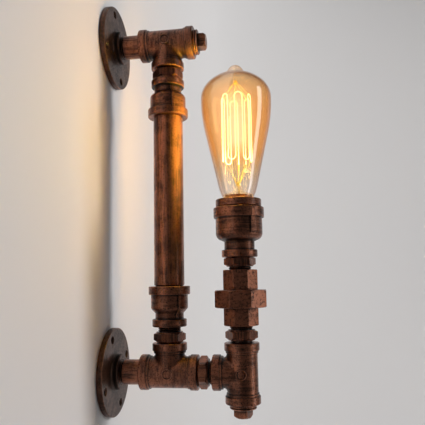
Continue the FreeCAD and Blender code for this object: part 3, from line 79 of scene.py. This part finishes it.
class Finish:
    """A paint, metal or glass, built node by node."""

    def __init__(self, name):
        self.material = bpy.data.materials.new(name)
        self.material.use_nodes = True
        self.tree = self.material.node_tree
        self.tree.nodes.clear()

    def add(self, kind, settings=None, inputs=None, out=0):
        """One node: its type, its settings, what its sockets hold, and which output is used."""
        node = self.tree.nodes.new(kind)
        for key, value in (settings or {}).items():
            setattr(node, key, value)
        for key, value in (inputs or {}).items():
            if isinstance(value, Value):
                self.tree.links.new(value.socket, node.inputs[key])
            else:
                node.inputs[key].default_value = value
        return Value(self, node.outputs[out]) if node.outputs else None

    def smooth(self, value, low, high):
        """0 below low, 1 above high, and a smooth step between."""
        return self.add("ShaderNodeMapRange", {"interpolation_type": "SMOOTHSTEP"},
                        {"Value": value, "From Min": low, "From Max": high})

    def blend(self, share, first, second):
        """Colour between two, by a share."""
        return self.add("ShaderNodeMix", {"data_type": "RGBA"},
                        {0: share, 6: first, 7: second}, out=2)

    def noise(self, place, scale, detail, roughness=0.5):
        return self.add("ShaderNodeTexNoise", None, {"Vector": place, "Scale": scale,
                                                     "Detail": detail, "Roughness": roughness})

    def done(self, shader):
        self.add("ShaderNodeOutputMaterial", None, {"Surface": shader})
        return self.material


def painted_wall():
    """Matt paint with the fine orange peel that a roller leaves."""
    finish = Finish("painted_wall")
    place = finish.add("ShaderNodeTexCoord", out=3)
    peel = finish.noise(place, 500.0, 2.0)
    bump = finish.add("ShaderNodeBump", None, {"Height": peel, "Strength": 0.06,
                                               "Distance": 0.0004})
    return finish.done(finish.add("ShaderNodeBsdfPrincipled", None,
                                  {"Base Color": WALL_COLOUR, "Roughness": 0.9, "Normal": bump}))


wall_line = [(WALL_LEFT, WALL_GAP), (WALL_FLAT_TO, WALL_GAP)]
for step in range(1, BEND_STEPS + 1):
    angle = math.radians(90 * step / BEND_STEPS)
    wall_line.append((WALL_FLAT_TO + BEND_R * math.sin(angle),
                      WALL_GAP - BEND_R * (1 - math.cos(angle))))
wall_line.append((ROOM_RIGHT, ROOM_FRONT))
count = len(wall_line)
wall = surface_object("wall", [(x, y, z) for z in (FLOOR_Z, CEILING_Z) for x, y in wall_line],
                      [(i, i + 1, count + i + 1, count + i) for i in range(count - 1)])
floor = surface_object("floor", [(WALL_LEFT, ROOM_FRONT, FLOOR_Z), (ROOM_RIGHT, ROOM_FRONT, FLOOR_Z),
                                 (ROOM_RIGHT, 0.0, FLOOR_Z), (WALL_LEFT, 0.0, FLOOR_Z)],
                       [(0, 1, 2, 3)])
wall_paint = painted_wall()
for surface in (wall, floor):
    surface.data.materials.append(wall_paint)

# Daylight: a wide window high up on the right, whose shadows fall on the wall towards the
# camera, and a tall narrow one level with the light, which shines along the glass and the
# pipes. A little comes from the ceiling and from low down, in a dim room.
ROOM_DAYLIGHT, ROOM_STRENGTH = (0.95, 0.97, 1.0, 1), 0.07

room = bpy.data.worlds.new("room")
bpy.context.scene.world = room
room.use_nodes = True
room.node_tree.nodes["Background"].inputs["Color"].default_value = ROOM_DAYLIGHT
room.node_tree.nodes["Background"].inputs["Strength"].default_value = ROOM_STRENGTH


def window(name, at, aim, width, height, power):
    """Rectangle of light that faces the point it is aimed at."""
    light = bpy.data.lights.new(name, "AREA")
    light.shape = "RECTANGLE"
    light.size, light.size_y, light.energy = width, height, power
    holder = bpy.data.objects.new(name, light)
    holder.location = at
    holder.rotation_euler = (Vector(aim) - Vector(at)).to_track_quat("-Z", "Y").to_euler()
    bpy.context.scene.collection.objects.link(holder)
    return holder


wide = window("window_wide", (0.60, -2.05, 0.80), (0.05, -0.05, 0.15), 0.50, 1.1, 26.0)
tall = window("window_tall", (-0.06, -1.40, 0.25), (0, -0.12, 0.22), 0.38, 1.5, 3.7)
ceiling = window("ceiling", (0.3, -0.8, 1.5), (0.2, -0.1, 0.15), 1.0, 0.7, 1.2)
low_window = window("low_window", (1.10, -1.10, -0.50), (0.98, -0.10, -0.28), 0.6, 0.6, 1.2)
tall.visible_diffuse = False
for matt_only in (wide, ceiling, low_window):
    matt_only.visible_glossy = False

# Camera: it stands where the photograph was taken, left of the light and close to the wall,
# looking along the wall and a little up. Place, turn and focal length were fitted to the
# photograph.
CAMERA_AT = Vector((-0.4790, -0.1657, 0.0814))
YAW, PITCH, ROLL = math.radians(8.34), math.radians(7.18), math.radians(-1.05)
FOCAL_PX, PHOTO_PX, SENSOR_MM = 532.3, 425, 36.0

ahead = Vector((math.cos(YAW) * math.cos(PITCH), math.sin(YAW) * math.cos(PITCH),
                math.sin(PITCH)))
level = ahead.cross(Vector((0, 0, 1))).normalized()
upright = level.cross(ahead)
right = level * math.cos(ROLL) + upright * math.sin(ROLL)
up = upright * math.cos(ROLL) - level * math.sin(ROLL)
lens = bpy.data.cameras.new("camera")
lens.sensor_width = SENSOR_MM
lens.lens = SENSOR_MM * FOCAL_PX / PHOTO_PX
lens.clip_start = 0.01
camera = bpy.data.objects.new("camera", lens)
bpy.context.scene.collection.objects.link(camera)
turned = Matrix((right, up, -ahead)).transposed().to_4x4()
turned.translation = CAMERA_AT
camera.matrix_world = turned
bpy.context.scene.camera = camera
bpy.context.scene.view_settings.view_transform = "Standard"

# Wall flanges: round cast iron plates with a hub, held to the wall through four open holes.
# They are painted brown-black, with only a little copper rubbed on by hand and a thin lacquer
# over it. Copper takes on open faces and stays out of pits and corners. Edges are lightened
# towards bare copper, partly wear and partly painted highlight, and corners and pits go near
# black, partly grime and partly painted shade.
COPPER = (0.37, 0.135, 0.072, 1)
BARE_COPPER_HIGHLIGHT = (0.62, 0.29, 0.18, 1)
PAINT = (0.030, 0.015, 0.010, 1)
GRIME_AND_SHADE = (0.006, 0.006, 0.005, 1)
PATCH_SCALE, GRAIN_SCALE = 70.0, 2400.0
PATCH_DEPTH, EDGE_COPPER_AND_HIGHLIGHT, KEPT_BARE = 0.36, 0.25, 0.12
CORNER_REACH, CORNER_TAKES = 0.016, 0.15
EDGE_WIDTH, EDGE_WEAR_AND_HIGHLIGHT = 0.0005, 0.4
RELIEF_STRENGTH, RELIEF_DEPTH = 0.4, 0.0006


def rubbed(name, cover, stroke, copper=COPPER, paint=PAINT, stroke_scale=480.0,
           stroke_depth=0.40, speck=0.65, speck_scale=800.0, rough=0.33, seed=0.0):
    """Painted iron with copper rubbed on: how much copper, and the stroke's way along x, y, z."""
    finish = Finish(name)
    place = finish.add("ShaderNodeTexCoord", out=3)
    shifted = finish.add("ShaderNodeMapping", None,
                         {"Vector": place, "Location": (seed, seed * 0.7, seed * 0.3)})
    drawn = finish.add("ShaderNodeMapping", None, {"Vector": shifted, "Scale": stroke})
    broad = finish.noise(shifted, PATCH_SCALE, 3.0, 0.6)
    strokes = finish.noise(drawn, stroke_scale, 2.0, 0.6)
    specks = finish.noise(shifted, speck_scale, 2.0, 0.7)
    grain = finish.noise(shifted, GRAIN_SCALE, 2.0, 0.6)
    open_air = finish.add("ShaderNodeAmbientOcclusion", {"samples": 8, "only_local": True},
                          {"Distance": CORNER_REACH}, out=1)
    eased = finish.add("ShaderNodeBevel", {"samples": 4}, {"Radius": EDGE_WIDTH})
    flat = finish.add("ShaderNodeNewGeometry", out=3)
    along = finish.add("ShaderNodeVectorMath", {"operation": "DOT_PRODUCT"},
                       {0: eased, 1: flat}, out=1)
    # Edges, found from the rounded normal: they get painted highlight as well as wear.
    edge = finish.smooth(1.0 - along, 0.004, 0.06)
    patch = finish.smooth(broad, 0.38, 0.62)
    drawn_off = finish.smooth(strokes, 0.36, 0.64)
    pitted = finish.smooth(specks, 0.53, 0.62)
    # Less copper where the surface is closed in: partly how rubbing leaves it, partly painted shade.
    clear = finish.smooth(open_air, 0.55, 0.97)
    laid = (patch * PATCH_DEPTH + drawn_off * stroke_depth + cover + edge * EDGE_COPPER_AND_HIGHLIGHT) - KEPT_BARE
    left_on = laid * (1.0 - pitted * speck) * (clear * (1 - CORNER_TAKES) + CORNER_TAKES)
    share = finish.smooth(left_on, 0.0, 1.0)
    copper_over_paint = finish.blend(share, paint, copper)
    # Painted highlight and wear: edges lighten towards bare copper.
    worn_and_highlit = finish.blend(edge * (drawn_off * EDGE_WEAR_AND_HIGHLIGHT + EDGE_WEAR_AND_HIGHLIGHT), copper_over_paint, BARE_COPPER_HIGHLIGHT)
    # Grime and painted shade: the colour goes near black in corners and pits, by occlusion.
    grimed_and_shaded = finish.blend(finish.smooth(open_air, 0.38, 0.90), GRIME_AND_SHADE, worn_and_highlit)
    relief = grain * 0.4 + strokes * 0.3 - pitted * 0.3
    bump = finish.add("ShaderNodeBump", None, {"Height": relief, "Strength": RELIEF_STRENGTH,
                                               "Distance": RELIEF_DEPTH, "Normal": eased})
    return finish.done(finish.add("ShaderNodeBsdfPrincipled", None, {
        "Base Color": grimed_and_shaded, "Metallic": 0.95,
        "Roughness": rough + 0.10 - share * 0.16 + grain * 0.08, "Normal": bump,
        "Specular IOR Level": 0.3, "Coat Weight": 0.3, "Coat Roughness": 0.2}))


def dress(material, *names):
    """Give CAD nodes a finish."""
    for name in names:
        coats = nodes[name].data.materials
        coats.clear()
        coats.append(material)


flange_iron = rubbed("flange_iron", 0.42, (1, 1, 1), copper=(0.14, 0.062, 0.040, 1),
                     paint=(0.040, 0.021, 0.013, 1), stroke_depth=0.3, speck=0.4, rough=0.45,
                     seed=3.1)
dress(flange_iron, "lower_flange", "upper_flange")

# Level pipes: the wall nipples, the arm's hexagon nipple and the upper tee's plug are drawn
# steel, threaded at the ends. The copper was brushed on lengthwise, out from the wall.
arm_steel = rubbed("arm_steel", 0.38, (1, 0.08, 1), stroke_scale=700.0, speck=0.4, rough=0.32,
                   seed=2.9)
dress(arm_steel, "lower_nipple", "upper_nipple", "arm_hex_nipple", "upper_plug")

# Tees of the back column: cast iron with a bead round each port, screwed onto the wall
# nipples. The copper was rubbed round their bodies, so its strokes stand across the run.
tee_iron = rubbed("tee_iron", 0.40, (0.15, 1, 0.15), stroke_depth=0.3)
dress(tee_iron, "lower_tee", "upper_tee")

# Upright pipes: the long main pipe, the hexagon nipples between the fittings and the plug
# under the front tee are drawn steel, with the copper brushed on up and down.
pipe_steel = rubbed("pipe_steel", 0.34, (1, 1, 0.05), stroke_scale=700.0, speck=0.4, rough=0.30,
                    seed=1.7)
dress(pipe_steel, "lower_hex_nipple", "main_pipe", "upper_hex_nipple", "union_hex_nipple",
      "cup_hex_nipple", "front_plug")

# Reducing sockets and front tee: cast iron with ribs along the sockets, screwed onto the main
# pipe's ends and the arm. The copper was rubbed round them.
cast_iron = rubbed("cast_iron", 0.40, (0.15, 0.15, 1), stroke_depth=0.3, seed=4.4)
dress(cast_iron, "lower_reducer", "upper_reducer", "front_tee")

# Union: two octagonal cast iron ends on the nipples, drawn together by a bigger nut. They
# hold the most copper, over a coarse, pitted skin.
union_iron = rubbed("union_iron", 0.55, (0.6, 0.6, 1), speck=0.6, speck_scale=420.0, rough=0.36,
                    seed=9.2)
dress(union_iron, "union_lower_end", "union_upper_end", "union_nut")

# Lamp cup: a big cast iron reducing socket, mouth up, and the ring screwed into its mouth
# that clamps the lampholder. They hold less copper than the tees.
cup_iron = rubbed("cup_iron", 0.34, (0.1, 0.1, 1), seed=5.7)
dress(cup_iron, "lamp_cup", "clamp_ring")

# Lampholder: a glazed ceramic body on a zinc-plated seat plate, with a rolled brass shell, a
# sprung bronze contact and brass terminals riveted on, and zinc-plated screws.
SHADE_SCALE, DARKEST_SHADE, GLOSS_SPREAD = 900.0, 0.82, 0.14


def plain(name, colour, metallic, roughness):
    """One colour, with faint, fine unevenness in its shade and gloss."""
    finish = Finish(name)
    place = finish.add("ShaderNodeTexCoord", out=3)
    fine = finish.noise(place, SHADE_SCALE, 3.0)
    darker = tuple(part * DARKEST_SHADE for part in colour[:3]) + (1,)
    shade = finish.blend(finish.smooth(fine, 0.35, 0.65), darker, colour)
    return finish.done(finish.add("ShaderNodeBsdfPrincipled", None, {
        "Base Color": shade, "Metallic": metallic,
        "Roughness": fine * GLOSS_SPREAD + (roughness - GLOSS_SPREAD / 2)}))


dress(plain("glazed_ceramic", (0.80, 0.77, 0.70, 1), 0.0, 0.18), "holder_body")
dress(plain("zinc_plate", (0.62, 0.63, 0.64, 1), 0.9, 0.35),
      "seat_plate", "terminal_screws", "earth_screw")
dress(plain("brass", (0.72, 0.50, 0.20, 1), 0.95, 0.28), "screw_shell", "live_terminal",
      "neutral_terminal", "contact_rivet", "shell_rivet", "earth_eyelet")
dress(plain("bronze", (0.60, 0.34, 0.16, 1), 0.95, 0.3), "centre_contact")

# Cable: a black sleeve round three coloured cores, drawn in through the pipes. A rubber bush
# holds it where it comes in, and a rubber gasket seals the union that it passes.
dress(plain("black_rubber", (0.02, 0.02, 0.021, 1), 0.0, 0.7), "inlet_bush", "union_gasket")
dress(plain("black_sleeve", (0.022, 0.022, 0.023, 1), 0.0, 0.45), "supply_cable", "head_cable")
dress(plain("brown_core", (0.10, 0.035, 0.012, 1), 0.0, 0.4), "live_wire")
dress(plain("blue_core", (0.01, 0.06, 0.32, 1), 0.0, 0.4), "neutral_wire")
dress(plain("green_core", (0.10, 0.30, 0.03, 1), 0.0, 0.4), "earth_wire")

# Bulb cap: thin plated brass, rolled into a thread and crimped to the glass, with black glass
# under it round its own small contact.
dress(plain("plated_brass", (0.80, 0.56, 0.38, 1), 0.95, 0.24), "bulb_cap", "bulb_contact")
dress(plain("black_glass", (0.012, 0.012, 0.016, 1), 0.0, 0.12), "cap_insulator")

# Bulb glass: a tall teardrop blown in clear glass and coated amber inside, from above the neck
# and thinner again at the top. The coating is deepest where the glass is seen edge on. A painted
# glow stands in for the filament's light in the glass: strongest beside the filament, brightest
# in front of it, with some all over and more at the tip.
glass_low, glass_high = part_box("bulb_glass")
COAT_RISES, COAT_THINS, COAT_LOST = (0.03, 0.39), (0.71, 0.95), 0.6
GLOW_RISES, GLOW_FADES, GLOW_ELSEWHERE = (0.19, 0.39), (0.63, 0.91), 0.2
TIP_RISES, TIP_GLOW = (0.93, 0.96), 0.5
BARE_GLASS = (1.0, 0.98, 0.95, 1)
GLASS_SHADOW = (0.97, 0.955, 0.93, 1)
MIRROR_FACING, MIRROR_EDGE_ON = 0.12, 0.5


def blown_glass(name, coated, edge_on, glow, strength, painted_glow_share, core=None, core_share=0.0):
    """Glass: what it lets through, its painted glow, and the painted glow in front of the filament.
    """
    finish = Finish(name)
    turned_away = finish.add("ShaderNodeLayerWeight", None, {"Blend": 0.5}, out=1)
    place = finish.add("ShaderNodeTexCoord", out=3)
    height = finish.add("ShaderNodeSeparateXYZ", None, {"Vector": place}, out=2)

    def up_glass(stretch):
        """0 below a stretch of the bulb's height and 1 above it."""
        foot, top = (glass_low.z + part * (glass_high.z - glass_low.z) for part in stretch)
        return finish.smooth(height, foot, top)

    coat = up_glass(COAT_RISES) * (1.0 - up_glass(COAT_THINS) * COAT_LOST)
    beside = up_glass(GLOW_RISES) * (1.0 - up_glass(GLOW_FADES))
    around = beside * (1 - GLOW_ELSEWHERE) + GLOW_ELSEWHERE + up_glass(TIP_RISES) * TIP_GLOW
    bare, amber, rim, shaded = (
        finish.add("ShaderNodeBsdfTransparent", None, {"Color": let_through})
        for let_through in (BARE_GLASS, coated, edge_on, GLASS_SHADOW))
    facing = finish.add("ShaderNodeMixShader", None, {0: coat, 1: bare, 2: amber})
    through = finish.add("ShaderNodeMixShader", None, {0: turned_away ** 4.0, 1: facing, 2: rim})
    share = around * painted_glow_share
    # Painted glow: emission standing in for the filament's light caught in the glass.
    painted_glow = finish.add("ShaderNodeEmission", None, {"Color": glow, "Strength": strength})
    if core:
        middle = beside * (1.0 - turned_away) ** 8.0
        painted_core_glow = finish.add("ShaderNodeEmission", None, {"Color": core, "Strength": strength})
        painted_glow = finish.add("ShaderNodeMixShader", None, {0: middle, 1: painted_glow, 2: painted_core_glow})
        share = share + middle * core_share
    body = finish.add("ShaderNodeMixShader", None, {0: share, 1: through, 2: painted_glow})
    mirror = finish.add("ShaderNodeBsdfAnisotropic", None, {"Color": (1, 1, 1, 1),
                                                            "Roughness": 0.03})
    gloss = turned_away ** 5.0 * MIRROR_EDGE_ON + MIRROR_FACING
    skin = finish.add("ShaderNodeMixShader", None, {0: gloss, 1: body, 2: mirror})
    in_shadow = finish.add("ShaderNodeLightPath", out=1)
    return finish.done(finish.add("ShaderNodeMixShader", None, {0: in_shadow, 1: skin, 2: shaded}))


amber_glass = blown_glass("amber_glass", coated=(1.0, 0.89, 0.70, 1), edge_on=(0.38, 0.14, 0.03, 1),
                          glow=(1.0, 0.36, 0.07, 1), strength=1.6, painted_glow_share=0.085,
                          core=(1.0, 0.70, 0.38, 1), core_share=0.40)
dress(amber_glass, "bulb_glass")

# Stem and wires: a clear glass foot with a rod, made in the bulb's neck, and nickel wires that
# hold the filament's bends and bring the current in.
# The stem glass has a painted glow, for the filament's light on it.
stem_glass = blown_glass("stem_glass", coated=(0.98, 0.95, 0.88, 1), edge_on=(0.8, 0.6, 0.35, 1),
                         glow=(1.0, 0.68, 0.26, 1), strength=6.0, painted_glow_share=0.09)
dress(stem_glass, "bulb_stem")
dress(plain("nickel_wire", (0.45, 0.34, 0.20, 1), 0.9, 0.5),
      "upper_spider", "lower_spider", "lead_wires")

# Filament: one carbon thread, up and down round a cage, at white heat. Its light reaches the
# wall as a warm glow, and shows on the pipes as a yellow streak.
WHITE_HEAT, HEAT_STRENGTH = (1.0, 0.80, 0.38, 1), 8.0
GLOW_LIGHT, GLOW_POWER, GLOW_R = (1.0, 0.46, 0.27), 0.42, 0.026
SHINE_LIGHT, SHINE_POWER, SHINE_R = (1.0, 0.80, 0.10), 2.6, 0.020

heat = Finish("white_heat")
dress(heat.done(heat.add("ShaderNodeEmission", None, {"Color": WHITE_HEAT,
                                                      "Strength": HEAT_STRENGTH})), "filament")
low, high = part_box("filament")


def filament_lamp(name, colour, power, radius):
    light = bpy.data.lights.new(name, "POINT")
    light.color, light.energy, light.shadow_soft_size = colour, power, radius
    holder = bpy.data.objects.new(name, light)
    holder.location = (low + high) / 2
    bpy.context.scene.collection.objects.link(holder)
    return holder


filament_lamp("filament_light", GLOW_LIGHT, GLOW_POWER, GLOW_R).visible_glossy = False
filament_lamp("filament_shine", SHINE_LIGHT, SHINE_POWER, SHINE_R).visible_diffuse = False
